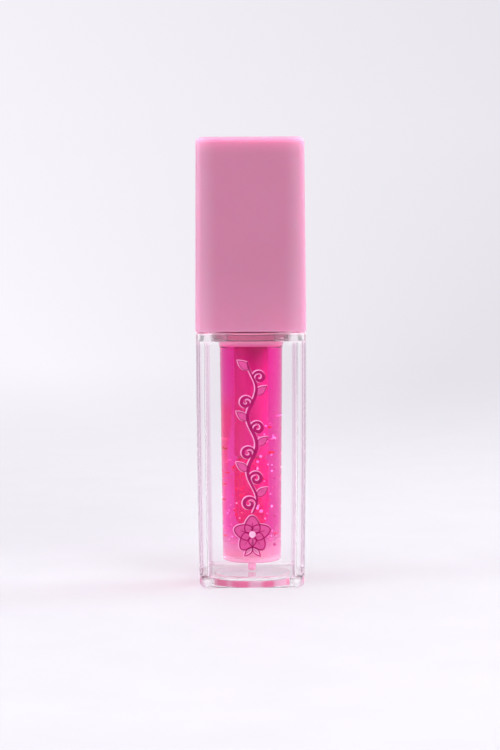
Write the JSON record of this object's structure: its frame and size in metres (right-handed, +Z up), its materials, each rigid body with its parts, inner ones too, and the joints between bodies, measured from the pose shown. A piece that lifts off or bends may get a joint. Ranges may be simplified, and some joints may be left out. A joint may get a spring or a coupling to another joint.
{
  "type": "lip gloss tube",
  "caption": "Square clear double-wall gloss tube with a round inner vial, and a tall square screw cap carrying a wiped rod with a flocked slanted tip.",
  "frame": {"origin": "middle of the base, on the surface the tube stands on", "axes": "+Z up along the tube, the printed front face looks towards -Y"},
  "size_m": [0.0208, 0.0208, 0.0845],
  "materials": {
    "clear_sleeve": "gloss",
    "clear_vial": "gloss",
    "gloss": "gloss",
    "wiper": "satin",
    "seal": "matte",
    "cap": "satin",
    "cap_liner": "satin",
    "rod": "gloss",
    "tip_core": "matte",
    "flock": "matte",
    "print": "satin"
  },
  "bodies": {
    "bottle": {"outer_sleeve": "clear_sleeve", "inner_vial": "clear_vial", "wiper": "wiper", "gloss_fill": "gloss"},
    "seal": {"seal_ring": "seal"},
    "cap": {"cap_shell": "cap", "cap_liner": "cap_liner", "applicator_rod": "rod", "tip_core": "tip_core", "tip_flock": "flock"}
  },
  "joints": [
    {"name": "cap_draw", "type": "slide", "parent": "bottle", "child": "seal", "axis": [0, 0, 1], "range_m": [0, 0.056]},
    {"name": "cap_turn", "type": "hinge", "parent": "seal", "child": "cap", "pos_m": [0, 0, 0.055], "axis": [0, 0, 1], "range_deg": [0, 405]}
  ]
}
